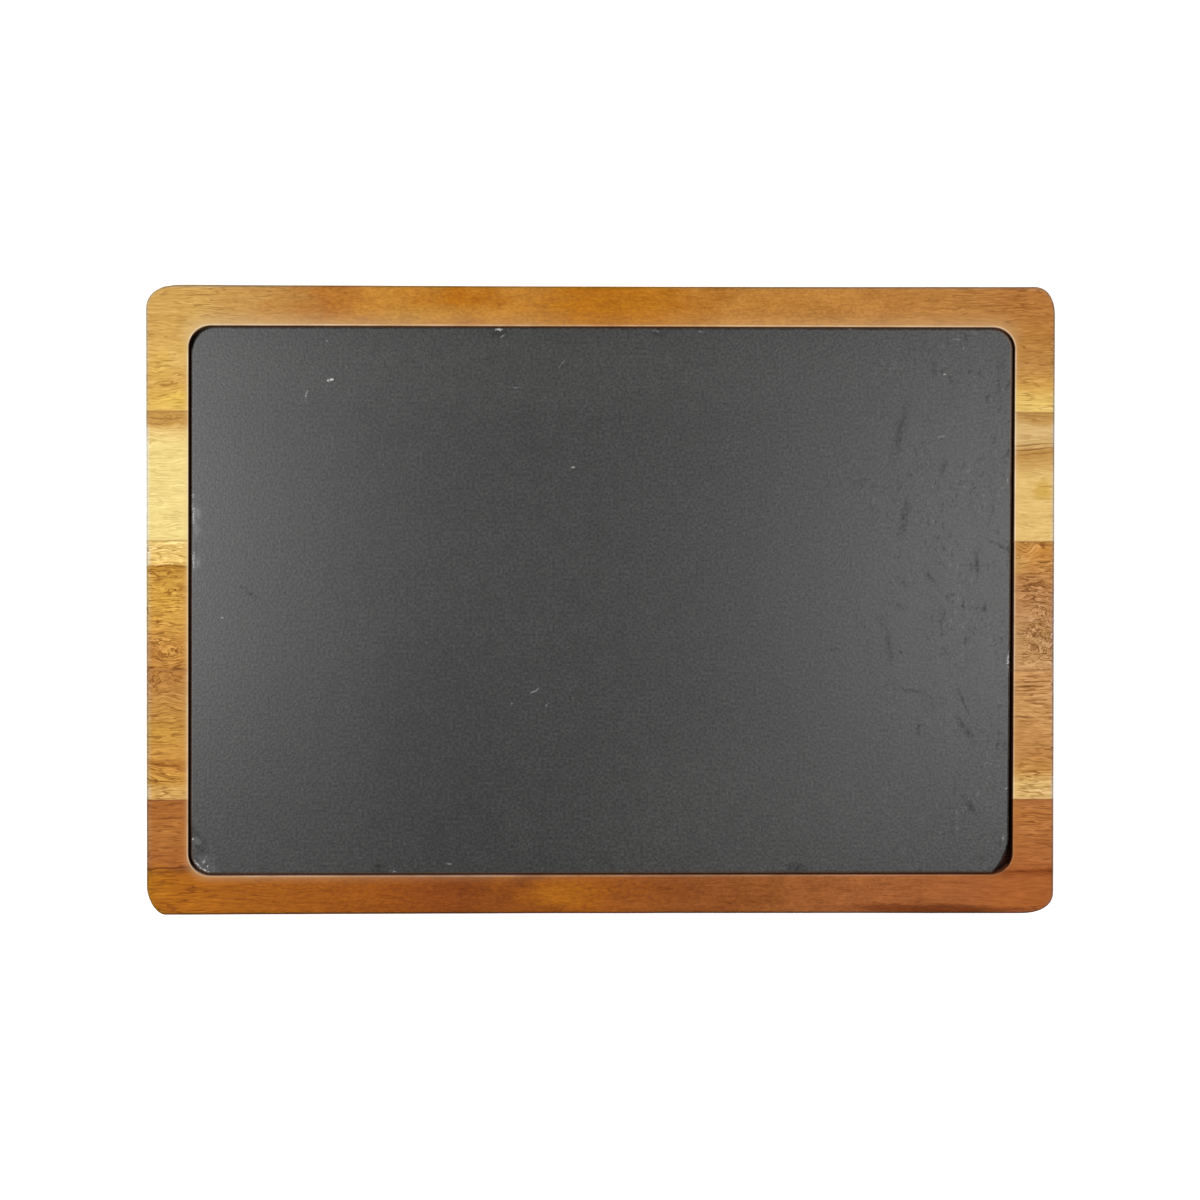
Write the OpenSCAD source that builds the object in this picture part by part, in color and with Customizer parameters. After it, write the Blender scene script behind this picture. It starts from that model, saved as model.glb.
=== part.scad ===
// Slate serving board: a panel of five edge-glued hardwood staves with a pocket routed into its top,
// and a loose slate plate that lies in the pocket.
// The origin is on the table, under the middle of the board. X runs along the grain, Y towards the
// back of the board, and Z up. All lengths are in millimetres.

/* [Wooden board] */
// Length of the board along X, with the grain
board_l = 330; // [250:1:420]
// Width of the back stave after trimming
back_stave_w = 45.8; // [36:0.1:56]
// Width of each of the three full staves
stave_w = 46.8; // [38:0.1:58]
// Width of the front stave after trimming
front_stave_w = 41.9; // [36:0.1:56]
// Thickness of a glue line between two staves
glue_t = 0.1; // [0.05:0.05:0.3]
// Radius of the board's corners, seen from above
board_corner_r = 8; // [5:0.5:20]
// Radius that eases the board's outer edges
board_edge_r = 1.5; // [0.8:0.1:3]

/* [Pocket] */
// Width of the wood beyond each end of the pocket
end_rim_w = 15; // [11:0.5:28]
// Width of the wood beyond each side of the pocket
side_rim_w = 14.5; // [11:0.5:28]
// Thickness of the wood left under the pocket
floor_t = 8.5; // [6:0.5:14]
// Radius of the pocket's corners, and of the slate's
pocket_corner_r = 8; // [5:0.5:14]
// Radius that eases the pocket's upper edge
pocket_edge_r = 0.8; // [0.4:0.1:1.5]
// Radius left by the cutter where the pocket's walls meet its floor
pocket_foot_r = 0.4; // [0.3:0.1:0.8]

/* [Slate plate] */
// Thickness of the slate plate
slate_t = 5; // [4:0.5:8]
// Depth of the slate's upper face below the rim
slate_sink = 0.5; // [0.2:0.1:1.5]
// Gap between the slate and the pocket's end walls
end_gap = 1; // [0.6:0.1:2]
// Gap between the slate and the pocket's side walls
side_gap = 0.5; // [0.4:0.1:2]
// Width of the arris dressed along the slate's upper and lower edges
slate_arris = 0.6; // [0.3:0.1:1.2]
// Length along X of the front right corner's broken edge
nibble_l = 6; // [4:0.5:10]
// Length along Y of the front right corner's broken edge
nibble_w = 11; // [8:0.5:16]

/* [Foam pads] */
// Diameter of the pads under the slate
pad_d = 12; // [8:1:18]
// Thickness of the pads
pad_t = 1; // [0.8:0.1:2]
// Distance from the slate's edges to the middle of a pad
pad_inset = 18; // [14:1:24]

/* [Push hole] */
// Diameter of the finger hole under the slate
push_hole_d = 24; // [18:1:32]
// Radius that eases the finger hole's lower edge
push_hole_edge_r = 1.5; // [0.8:0.1:3]

/* [Rubber feet] */
// Diameter of the feet
foot_d = 12; // [8:1:18]
// Height of the feet
foot_t = 2; // [1.5:0.5:5]
// Radius that rounds a foot's lower edge
foot_edge_r = 0.7; // [0.4:0.1:1.2]
// Distance from the board's edges to the middle of a foot
foot_inset = 22; // [16:1:40]

/* [Hidden] */
$fn = 96;

// How far a cutting shape runs past the face that it cuts
overrun = 1;

// Counted from the back, the full staves lie between the back stave and the front one
full_staves = 3;
glue_lines = full_staves + 1;
stave_pitch = stave_w + glue_t;
board_w = back_stave_w + full_staves * stave_w + front_stave_w + glue_lines * glue_t;
board_back_y = board_w / 2;

// The rims leave the pocket, and the gaps leave the slate
pocket_l = board_l - 2 * end_rim_w;
pocket_w = board_w - 2 * side_rim_w;
slate_l = pocket_l - 2 * end_gap;
slate_w = pocket_w - 2 * side_gap;
slate_corner_r = pocket_corner_r;
pocket_depth = pad_t + slate_t + slate_sink;
board_t = floor_t + pocket_depth;

// Heights above the table
board_z = foot_t;
floor_z = board_z + floor_t;
slate_z = floor_z + pad_t;

// Front face of a glue line, the number-th from the back, where the next stave begins
function glue_y(number) = board_back_y - back_stave_w - glue_t - number * stave_pitch;
middle_stave_y = glue_y(1) - stave_w / 2;

// A straight band of everything between two planes square to Y, one stave or one glue line wide
module band(y_low, width)
  translate([-board_l / 2 - overrun, y_low, board_z - overrun])
    cube([board_l + 2 * overrun, width, board_t + 2 * overrun]);

// Flat plate with round corners and shaped edges. Its first child is the section along its length, its
// second the section along its width, and its third half the section of a disc as wide as two corners.
module section_plate(length, width, corner_r) {
  rotate([90, 0, 0])
    linear_extrude(width - 2 * corner_r, center = true)
      children(0);
  rotate([90, 0, 90])
    linear_extrude(length - 2 * corner_r, center = true)
      children(1);
  for (x_side = [-1, 1], y_side = [-1, 1])
    translate([x_side * (length / 2 - corner_r), y_side * (width / 2 - corner_r), 0])
      rotate_extrude()
        children(2);
}

// Section of the board: a bar with eased corners, standing on z = 0
module board_section(length) {
  translate([-length / 2, board_edge_r])
    square([length, board_t - 2 * board_edge_r]);
  translate([-length / 2 + board_edge_r, 0])
    square([length - 2 * board_edge_r, board_t]);
  for (side = [-1, 1], z = [board_edge_r, board_t - board_edge_r])
    translate([side * (length / 2 - board_edge_r), z])
      circle(board_edge_r);
}

// The half of a section that lies to one side of its middle, ready to be turned about the upright axis
module half(height)
  intersection() {
    children();
    translate([0, -overrun])
      square([board_l, height + 2 * overrun]);
  }

// The whole board before the pocket and the finger hole are cut
module board_blank()
  translate([0, 0, board_z])
    section_plate(board_l, board_w, board_corner_r) {
      board_section(board_l);
      board_section(board_w);
      half(board_t) board_section(2 * board_corner_r);
    }

// Section of the cutter that routs the pocket: straight walls, a small radius at the floor, and a
// flare that leaves the rim's edge rounded. It stands on z = 0, the pocket's floor.
module pocket_section(length) {
  translate([-length / 2, pocket_foot_r])
    square([length, pocket_depth + overrun - pocket_foot_r]);
  translate([-length / 2 + pocket_foot_r, 0])
    square([length - 2 * pocket_foot_r, pocket_depth]);
  for (side = [-1, 1])
    translate([side * (length / 2 - pocket_foot_r), pocket_foot_r])
      circle(pocket_foot_r);
  difference() {
    translate([-length / 2 - pocket_edge_r, pocket_depth - pocket_edge_r])
      square([length + 2 * pocket_edge_r, pocket_edge_r + overrun]);
    for (side = [-1, 1])
      translate([side * (length / 2 + pocket_edge_r), pocket_depth - pocket_edge_r])
        circle(pocket_edge_r);
  }
}

// The space that the slate lies in
module pocket()
  translate([0, 0, floor_z])
    section_plate(pocket_l, pocket_w, pocket_corner_r) {
      pocket_section(pocket_l);
      pocket_section(pocket_w);
      half(pocket_depth) pocket_section(2 * pocket_corner_r);
    }

// Finger hole through the middle stave, eased where the finger goes in
module push_hole()
  translate([0, middle_stave_y, board_z])
    rotate_extrude()
      difference() {
        translate([0, -overrun])
          square([push_hole_d / 2 + push_hole_edge_r, floor_t + 2 * overrun]);
        translate([push_hole_d / 2, push_hole_edge_r])
          square([push_hole_edge_r + overrun, floor_t + 2 * overrun]);
        translate([push_hole_d / 2 + push_hole_edge_r, push_hole_edge_r])
          circle(push_hole_edge_r);
      }

// One strip of the finished board, from y_low towards the back
module board_strip(y_low, width)
  difference() {
    intersection() {
      board_blank();
      band(y_low, width);
    }
    pocket();
  }

module back_stave()
  color("#D6A052")
    board_strip(board_back_y - back_stave_w, back_stave_w + overrun);

module back_inner_stave()
  color("#EBCB80")
    board_strip(glue_y(0) - stave_w, stave_w);

module middle_stave()
  color("#C79350")
    difference() {
      board_strip(glue_y(1) - stave_w, stave_w);
      push_hole();
    }

module front_inner_stave()
  color("#CB9A56")
    board_strip(glue_y(2) - stave_w, stave_w);

module front_stave()
  color("#A8642F")
    board_strip(-board_back_y - overrun, front_stave_w + overrun);

// Film of glue between two staves, the number-th from the back
module glue_line(number)
  color("#6E4A22")
    board_strip(glue_y(number), glue_t);

// Section of the slate: a flat bar whose long edges are dressed at 45 degrees
module slate_section(length)
  polygon([
    [-length / 2 + slate_arris, 0],
    [length / 2 - slate_arris, 0],
    [length / 2, slate_arris],
    [length / 2, slate_t - slate_arris],
    [length / 2 - slate_arris, slate_t],
    [-length / 2 + slate_arris, slate_t],
    [-length / 2, slate_t - slate_arris],
    [-length / 2, slate_arris]
  ]);

module slate_plate()
  color("#525250")
    translate([0, 0, slate_z])
      difference() {
        section_plate(slate_l, slate_w, slate_corner_r) {
          slate_section(slate_l);
          slate_section(slate_w);
          half(slate_t) slate_section(2 * slate_corner_r);
        }
        // The front right corner, nibbled off nearly straight
        translate([slate_l / 2, -slate_w / 2, -overrun])
          linear_extrude(slate_t + 2 * overrun)
            polygon([
              [-nibble_l, 0],
              [-nibble_l, -overrun],
              [overrun, -overrun],
              [overrun, nibble_w],
              [0, nibble_w]
            ]);
      }

// Foam disc between the slate and the pocket's floor. The sides are -1 or 1.
module pad(x_side, y_side)
  color("#2B2B2B")
    translate([x_side * (slate_l / 2 - pad_inset), y_side * (slate_w / 2 - pad_inset), floor_z])
      cylinder(h = pad_t, d = pad_d);

// Rubber foot, a disc with a rounded lower edge. The sides are -1 or 1.
module foot(x_side, y_side)
  color("#1E1E1E")
    translate([x_side * (board_l / 2 - foot_inset), y_side * (board_w / 2 - foot_inset), 0])
      rotate_extrude() {
        square([foot_d / 2 - foot_edge_r, foot_t]);
        translate([0, foot_edge_r])
          square([foot_d / 2, foot_t - foot_edge_r]);
        translate([foot_d / 2 - foot_edge_r, foot_edge_r])
          circle(foot_edge_r);
      }

back_stave();
back_inner_stave();
middle_stave();
front_inner_stave();
front_stave();
glue_line(0);  // back_glue_line
glue_line(1);  // back_inner_glue_line
glue_line(2);  // front_inner_glue_line
glue_line(3);  // front_glue_line
slate_plate();
pad(-1, 1);  // pad_back_left
pad(1, 1);  // pad_back_right
pad(-1, -1);  // pad_front_left
pad(1, -1);  // pad_front_right
foot(-1, 1);  // foot_back_left
foot(1, 1);  // foot_back_right
foot(-1, -1);  // foot_front_left
foot(1, -1);  // foot_front_right
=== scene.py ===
import math

import bmesh
import bpy
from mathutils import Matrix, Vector, geometry, noise


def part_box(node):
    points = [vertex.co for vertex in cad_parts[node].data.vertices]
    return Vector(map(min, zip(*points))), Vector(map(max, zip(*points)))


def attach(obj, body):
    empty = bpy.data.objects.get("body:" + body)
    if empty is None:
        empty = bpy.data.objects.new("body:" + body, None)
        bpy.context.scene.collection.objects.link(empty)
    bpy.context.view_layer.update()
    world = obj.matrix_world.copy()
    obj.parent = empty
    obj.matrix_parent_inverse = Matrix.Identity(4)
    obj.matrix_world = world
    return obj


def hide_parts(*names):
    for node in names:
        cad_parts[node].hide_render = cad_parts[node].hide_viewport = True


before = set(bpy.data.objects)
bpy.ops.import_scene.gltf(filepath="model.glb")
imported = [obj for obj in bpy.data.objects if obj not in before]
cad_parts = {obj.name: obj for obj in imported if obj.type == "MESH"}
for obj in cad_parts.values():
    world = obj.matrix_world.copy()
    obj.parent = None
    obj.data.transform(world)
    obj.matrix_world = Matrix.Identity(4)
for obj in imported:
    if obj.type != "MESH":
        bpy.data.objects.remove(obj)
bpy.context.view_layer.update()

# Lengths below are in millimetres, and MM turns them into Blender's metres.
MM = 0.001

# Camera
# A short telephoto lens a metre above the board, looking straight down but for a degree of lean,
# which makes the board's back and left edges a hair longer than the front and right ones.
LENS = 85
CAMERA_PLACE = (-22.2, 15.4, 1044.85)
CAMERA_LEAN = (-0.85, -1.20, 0.046)

camera = bpy.data.objects.new("camera", bpy.data.cameras.new("camera"))
camera.data.lens = LENS
camera.location = Vector(CAMERA_PLACE) * MM
camera.rotation_euler = [math.radians(angle) for angle in CAMERA_LEAN]
bpy.context.scene.collection.objects.link(camera)
bpy.context.scene.camera = camera

# Studio
# A light table with white paper on it, which leaves hardly a shadow, under an even white sky, with a
# softbox above each end of the board. The slate mirrors them dimly, and so lightens towards its ends.
TABLE_SIZE = 40000
SKY_STRENGTH = 0.617
TABLE_GLOW = 0.36
SOFTBOX_SIZE = 420
# Where each softbox hangs, and its power in watts
SOFTBOXES = {"left": ((-533, 61, 1300), 8.75), "right": ((436, 5, 1300), 4.88)}


def linear(hex_colour, share=1.0):
    """An sRGB hex colour as this share of its linear red, green and blue, and an alpha of 1."""
    parts = [int(hex_colour[i:i + 2], 16) / 255 for i in (1, 3, 5)]
    parts = [c / 12.92 if c <= 0.04045 else ((c + 0.055) / 1.055) ** 2.4 for c in parts]
    return (*[share * c for c in parts], 1.0)


def plug(node, sockets):
    """Links or sets a node's sockets, given in order or by name or number, and returns the node."""
    for socket, value in sockets.items() if isinstance(sockets, dict) else enumerate(sockets):
        if isinstance(value, bpy.types.NodeSocket):
            node.id_data.links.new(value, node.inputs[socket])
        else:
            node.inputs[socket].default_value = value
    return node


def new_finish(name):
    """A new material, a function that adds a node to it, and its surface shader."""
    material = bpy.data.materials.new(name)
    material.use_nodes = True
    nodes = material.node_tree.nodes

    def add(kind, sockets=(), out=0, **settings):
        """Adds a node, such as "Bump" or "Math MULTIPLY", and returns one of its outputs."""
        kind, _, operation = kind.partition(" ")
        made = nodes.new("ShaderNode" + kind)
        if operation:
            made.operation = operation
        for setting, value in settings.items():
            setattr(made, setting, value)
        return plug(made, sockets).outputs[out]

    return material, add, nodes["Principled BSDF"]


bpy.context.scene.view_settings.view_transform = "Standard"
sky = bpy.data.worlds.new("studio_sky")
sky.use_nodes = True
plug(sky.node_tree.nodes["Background"], {"Color": (1.0, 1.0, 1.0, 1.0), "Strength": SKY_STRENGTH})
bpy.context.scene.world = sky

for side, (softbox_place, watts) in SOFTBOXES.items():
    softbox = bpy.data.objects.new("softbox_" + side, bpy.data.lights.new("softbox_" + side, "AREA"))
    softbox.data.size = SOFTBOX_SIZE * MM
    softbox.data.energy = watts
    softbox.location = Vector(softbox_place) * MM
    softbox.rotation_euler = (-softbox.location).to_track_quat("-Z", "Y").to_euler()
    softbox.visible_camera = False
    bpy.context.scene.collection.objects.link(softbox)

table_mesh = bpy.data.meshes.new("table")
half_table = TABLE_SIZE / 2 * MM
table_corners = [(x * half_table, y * half_table, 0) for x, y in ((-1, -1), (1, -1), (1, 1), (-1, 1))]
table_mesh.from_pydata(table_corners, [], [(0, 1, 2, 3)])
table = bpy.data.objects.new("table", table_mesh)
bpy.context.scene.collection.objects.link(table)
table_paint, _, shader = new_finish("white_paper_sweep")
plug(shader, {"Base Color": linear("#FEFEFE"), "Roughness": 0.9})
plug(shader, {"Emission Color": linear("#FFFFFF"), "Emission Strength": TABLE_GLOW})
table_mesh.materials.append(table_paint)

# Panel of five staves and their glue lines
# A hardwood panel of five acacia staves, edge-glued, routed for the slate, and sanded by hand, so
# its corners aren't quite alike. The whole panel is made first and then sawn into its staves and
# glue lines, each of which stands for its CAD node.
STAVES = ["back_stave", "back_inner_stave", "middle_stave", "front_inner_stave", "front_stave"]
GLUE_LINES = ["back_glue_line", "back_inner_glue_line", "front_inner_glue_line", "front_glue_line"]
END_RIM = 15
SIDE_RIM = 14.5
EDGE_RADIUS = 1.5
POCKET_RADIUS = 8
POCKET_EDGE = 0.64
POCKET_FOOT = 0.4
FLOOR = 8.5
HOLE_RADIUS = 12
HOLE_EDGE = 1.5
# The pocket lies a hair off the board's middle, is a hair small, and is a hair out of square
POCKET_PLACE = (0.2, -0.25)
POCKET_SPARE = 0.16
POCKET_SKEW = 0.002
# How hollow sanding has left the long sides and the short sides, and the pocket's long and short sides
HOLLOW_LONG = 0.3
HOLLOW_SHORT = 0.04
HOLLOW_POCKET = (0.12, 0.24)
# How far it has worn the outline back here and there, in waves this long, and a knock in the back
# edge: its place, its reach and its depth
SANDED = 0.08
SANDED_WAVE = 26
KNOCK = (-156.0, 114.0, 1.1, 0.45)
# The share of the pocket's eased edge that its waver takes, and the waver's length
EDGE_WAVER_SHARE = 0.22
EDGE_WAVE = 2.1
# Each corner's reach along X and along Y, and its power: 2 is an ellipse, less is flatter
CORNERS = {
    (1, 1): (7.4, 10.6, 2.2), (-1, 1): (11.8, 8.9, 2.2),
    (-1, -1): (6.6, 10.4, 1.75), (1, -1): (12.0, 7.8, 2.25),
}
QUARTERS = list(CORNERS)
LONG_STEPS = 88
SHORT_STEPS = 60
CORNER_STEPS = 12
ARC_STEPS = 6
# Rings on a flat face, as shares of the way across it. The outermost hug its edges and keep it flat
RIM_SHARES = (0.02, 0.12, 0.5, 0.9, 0.98)
FLAT_SHARES = (0.01, 0.3, 0.6, 0.99)


def board_span(name):
    """The lowest and highest corner of a CAD node, in millimetres."""
    low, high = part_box(name)
    return low / MM, high / MM


panel_low = Vector([min(board_span(name)[0][i] for name in STAVES) for i in range(3)])
panel_high = Vector([max(board_span(name)[1][i] for name in STAVES) for i in range(3)])
PANEL_L = panel_high.x - panel_low.x
PANEL_W = panel_high.y - panel_low.y
POCKET_HALF = (PANEL_L / 2 - END_RIM - POCKET_SPARE, PANEL_W / 2 - SIDE_RIM - POCKET_SPARE)
floor_z = panel_low.z + FLOOR
hole_y = sum(board_span("middle_stave")[i].y for i in (0, 1)) / 2


def outline(half_l, half_w, corners):
    """Points round a rectangle with shaped corners, anticlockwise from its right side, with normals."""
    points = []
    for quarter, (side_x, side_y) in enumerate(QUARTERS):
        reach_x, reach_y, power = corners[(side_x, side_y)]
        for step in range(CORNER_STEPS + 1):
            angle = step / CORNER_STEPS * math.pi / 2
            if side_x * side_y < 0:
                angle = math.pi / 2 - angle
            x = half_l - reach_x * (1 - math.cos(angle) ** (2 / power))
            y = half_w - reach_y * (1 - math.sin(angle) ** (2 / power))
            start = Vector((side_x * x, side_y * y))
            normal = Vector((side_x * math.cos(angle), side_y * math.sin(angle)))
            points.append((start, normal))
        next_x, next_y = QUARTERS[(quarter + 1) % 4]
        next_reach = corners[(next_x, next_y)]
        if next_y == side_y:
            end = Vector((next_x * (half_l - next_reach[0]), side_y * half_w))
            steps = LONG_STEPS
        else:
            end = Vector((side_x * half_l, next_y * (half_w - next_reach[1])))
            steps = SHORT_STEPS
        points += [(start.lerp(end, i / steps), normal) for i in range(1, steps)]
    return points


def hollow(place, normal, long_side, short_side):
    """How far a side is hollowed at this place: most at its middle, and not at all at its ends."""
    along_x, along_y = 2 * place.x / PANEL_L, 2 * place.y / PANEL_W
    bow = long_side * abs(normal.y) * max(0, 1 - along_x ** 2)
    return bow + short_side * abs(normal.x) * max(0, 1 - along_y ** 2)


def wave(place, length_x, length_y, depth):
    """Smooth noise from -1 to 1 with waves of these lengths. Each depth in it is another pattern."""
    return noise.noise(Vector((place.x / length_x, place.y / length_y, depth)))


def outer_ring(inset, z):
    """The board's outline, this far inside it, with the waver that sanding by hand leaves."""
    corners = {key: (a - inset, b - inset, power) for key, (a, b, power) in CORNERS.items()}
    ring = []
    for place, normal in outline(PANEL_L / 2 - inset, PANEL_W / 2 - inset, corners):
        waver = SANDED * (0.5 + 0.5 * wave(place, SANDED_WAVE, SANDED_WAVE, 3.1))
        waver += hollow(place, normal, HOLLOW_LONG, HOLLOW_SHORT)
        knocked = math.hypot(place.x - KNOCK[0], place.y - KNOCK[1]) / KNOCK[2]
        waver += KNOCK[3] * max(0, 1 - knocked)
        ring.append((place - normal * waver).to_3d() + Vector((0, 0, z)))
    return ring


def pocket_ring(outset, z):
    """The pocket's outline, this far outside it. The eased edge wavers a little across the grain."""
    corners = {key: (POCKET_RADIUS + outset, POCKET_RADIUS + outset, 2) for key in QUARTERS}
    ring = []
    for place, normal in outline(POCKET_HALF[0] + outset, POCKET_HALF[1] + outset, corners):
        waver = EDGE_WAVER_SHARE * outset * wave(place, EDGE_WAVE, EDGE_WAVE, 8.4)
        waver -= hollow(place, normal, *HOLLOW_POCKET)
        place = place + normal * waver
        ring.append(Vector((place.x + POCKET_SKEW * place.y + POCKET_PLACE[0], place.y + POCKET_PLACE[1], z)))
    return ring


def hole_ring(radius, z):
    """The finger hole's circle, with a point on the ray to each point of the pocket's outline."""
    rays = [Vector((place.x, place.y - hole_y)).normalized() * radius for place in pocket_ring(0, z)]
    return [Vector((ray.x, hole_y + ray.y, z)) for ray in rays]


def quarter_turn(radius):
    """Steps round a quarter circle: how far it still is from the wall, and from the flat."""
    turns = [i / ARC_STEPS * math.pi / 2 for i in range(ARC_STEPS + 1)]
    return [(radius * (1 - math.sin(a)), radius * (1 - math.cos(a))) for a in turns]


def between(first, second, shares):
    """Rings that lie between two others, at these shares of the way."""
    return [[a.lerp(b, share) for a, b in zip(first, second)] for share in shares]


def panel_rings():
    """Closed rings over the panel: out along its underside, up, over the rim, and down into the pocket."""
    bottom, top = panel_low.z, panel_high.z
    rings = [outer_ring(inset, bottom + rise) for inset, rise in quarter_turn(EDGE_RADIUS)]
    rings.append(outer_ring(0, (bottom + top) / 2))
    rings += [outer_ring(inset, top - rise) for inset, rise in reversed(quarter_turn(EDGE_RADIUS))]
    rings += between(rings[-1], pocket_ring(POCKET_EDGE, top), RIM_SHARES)
    rings += [pocket_ring(outset, top - rise) for outset, rise in quarter_turn(POCKET_EDGE)]
    rings += [pocket_ring(-inset, floor_z + rise) for inset, rise in reversed(quarter_turn(POCKET_FOOT))]
    rings += between(rings[-1], hole_ring(HOLE_RADIUS, floor_z), FLAT_SHARES)
    rings.append(hole_ring(HOLE_RADIUS, floor_z))
    rings += [hole_ring(HOLE_RADIUS + out, bottom + rise) for out, rise in reversed(quarter_turn(HOLE_EDGE))]
    return rings + between(rings[-1], rings[0], FLAT_SHARES)


def join_rows(work, rows):
    """Joins each row of vertices round a piece to the next with faces. A row of one is a point."""
    for row, following in zip(rows, rows[1:]):
        steps = max(len(row), len(following))
        for i in range(steps):
            j = (i + 1) % steps
            near, far = [row[k % len(row)] for k in (i, j)], [following[k % len(following)] for k in (j, i)]
            work.faces.new(list(dict.fromkeys(near + far)))


def finish_mesh(work, name, material, crease=35):
    """Turns a bmesh into an object whose faces are smooth but for its creases."""
    bmesh.ops.recalc_face_normals(work, faces=work.faces)
    mesh = bpy.data.meshes.new(name)
    work.to_mesh(mesh)
    work.free()
    for polygon in mesh.polygons:
        polygon.use_smooth = True
    mesh.set_sharp_from_angle(angle=math.radians(crease))
    mesh.materials.append(material)
    piece = bpy.data.objects.new(name, mesh)
    bpy.context.scene.collection.objects.link(piece)
    return piece


def saw(panel, name, material):
    """Cuts out of the panel what lies between the two planes of a CAD node, and closes the cuts."""
    low, high = board_span(name)
    work = panel.copy()
    for y, direction, edge in ((low.y, -1, panel_low.y), (high.y, 1, panel_high.y)):
        if abs(y - edge) < 0.001:
            continue
        everything = work.verts[:] + work.edges[:] + work.faces[:]
        cut = bmesh.ops.bisect_plane(
            work, geom=everything, plane_co=(0, y * MM, 0), plane_no=(0, direction, 0), clear_outer=True
        )
        rim = [item for item in cut["geom_cut"] if isinstance(item, bmesh.types.BMEdge)]
        closed = bmesh.ops.edgenet_fill(work, edges=rim)
        bmesh.ops.triangulate(work, faces=closed["faces"])
    piece = finish_mesh(work, name + "_wood" if name in STAVES else name + "_film", material)
    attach(piece, "board")
    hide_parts(name)
    return piece


panel = bmesh.new()
rows = [[panel.verts.new(place * MM) for place in ring] for ring in panel_rings()]
join_rows(panel, rows + rows[:1])
bmesh.ops.recalc_face_normals(panel, faces=panel.faces)


def passed(add, value, *steps):
    """A value passed through one node after another. A step is a node's kind and its other sockets."""
    for kind, *others in steps:
        value = add(kind, [value, *others])
    return value


def millimetres(add):
    """Where on the object a point of a surface lies, in millimetres."""
    return add("VectorMath SCALE", {0: add("TexCoord", out="Object"), 3: 1 / MM})


# A range that starts and ends gently
SOFTLY = {"interpolation_type": "SMOOTHSTEP"}


def ramp(add, factor, stops):
    """A colour ramp with these (place, hex colour) stops, driven by factor."""
    colour = add("ValToRGB", [factor])
    elements = colour.node.color_ramp.elements
    while len(elements) > 1:
        elements.remove(elements[-1])
    elements[0].position, elements[0].color = stops[0][0], linear(stops[0][1])
    for place, hex_colour in stops[1:]:
        elements.new(place).color = linear(hex_colour)
    return colour


def rounded_rectangle(add, place, half_l, half_w, radius):
    """How far a place lies outside a rounded rectangle round the origin, in millimetres."""
    flat = passed(
        add, place, ("VectorMath MULTIPLY", (1, 1, 0)), ("VectorMath ABSOLUTE",),
        ("VectorMath SUBTRACT", (half_l - radius, half_w - radius, 0)), ("VectorMath MAXIMUM", (0, 0, 0)),
    )
    return add("Math SUBTRACT", [add("VectorMath LENGTH", [flat], out="Value"), radius])


def off_centre(add, place, centre, reach, angle=0):
    """How far a place is from the middle of an oval patch, as a share of the patch's reach."""
    share = add("Mapping", [place, centre, (0, 0, math.radians(angle)), reach], vector_type="TEXTURE")
    return add("VectorMath LENGTH", [share], out="Value")


def stretched(add, place, size, detail=2.0, roughness=0.5, out="Fac"):
    """Noise whose grains are this many millimetres long, wide and deep."""
    spread = add("VectorMath MULTIPLY", [place, [1 / length for length in size]])
    sockets = {"Vector": spread, "Scale": 1.0, "Detail": detail, "Roughness": roughness}
    return add("TexNoise", sockets, out=out)


def nudge(add, place, size, reach):
    """Noise of this grain size as a shift of a place by up to about this many millimetres each way."""
    shift = add("VectorMath SUBTRACT", [stretched(add, place, size, out="Color"), (0.5, 0.5, 0.5)])
    return add("VectorMath MULTIPLY", [shift, [4 * length for length in reach]])


def coated(add, colour, share, coat):
    """A colour with a coat over this share of it: another colour covers it, and a tint stains it."""
    if isinstance(coat, tuple) and len(coat) == 3:
        coat = add("VectorMath MULTIPLY", [colour, coat])
    return add("Mix", {0: share, 6: colour, 7: coat}, out=2, data_type="RGBA")


def contour(add, pattern, level, reach):
    """A thin line where a pattern passes a level."""
    away = passed(add, pattern, ("Math SUBTRACT", level), ("Math ABSOLUTE",))
    return add("MapRange", [away, reach, 0.3 * reach], **SOFTLY)


def swing(add, patterns, depth=1.0):
    """How far these patterns swing together from their middle, each by its own amount."""
    total = 0.0
    for pattern, amount in patterns:
        pattern = add("Math SUBTRACT", [pattern, 0.5])
        total = add("Math MULTIPLY_ADD", [pattern, amount * depth, total])
    return total


def along(add, x, values):
    """A value at the panel's left end, at mid length and at its right end, joined by straight lines."""
    value = values[1]
    for end, step in ((-150.0, values[0] - values[1]), (150.0, values[2] - values[1])):
        value = add("Math", [add("MapRange", [x, 0.0, end, 0.0, step]), value])
    return value


# The red, green and blue of each of these, as shares of the wood's own
DARK_GRAIN, LIGHT_GRAIN = (0.58, 0.46, 0.22), (1.40, 1.48, 1.62)
VESSEL, FLECK, PORE = (0.48, 0.36, 0.20), (1.25, 1.36, 1.8), (0.7, 0.6, 0.4)
# The second of these darkens the board's sides, partly for oil and partly as painted shade
OILED_SEAM, OILED_AND_SHADED_SIDE, RIDGE = (0.60, 0.48, 0.34), (0.24, 0.19, 0.17), (0.66, 0.56, 0.42)
# A painted highlight on the board's outer arris, and bare wood with a painted highlight on the pocket's eased
# edge
OUTER_ARRIS_HIGHLIGHT, BARE_LIT_POCKET_EDGE = (0.93, 1.22, 2.7), (1.0, 1.12, 1.6)
# Painted shade in the pocket: on its walls, on its floor beside them and in its middle, and painted shade on
# the back wall and painted light on the front wall, by the way they face
WALL_SHADE, BY_WALL_SHADE, MID_FLOOR_SHADE = (0.08, 0.045, 0.035), (1.05, 0.76, 0.6), (0.92, 0.86, 0.78)
BACK_WALL_SHADE, FRONT_WALL_LIGHT = (0.60, 0.42, 0.31), (0.95, 0.90, 1.1)
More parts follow.
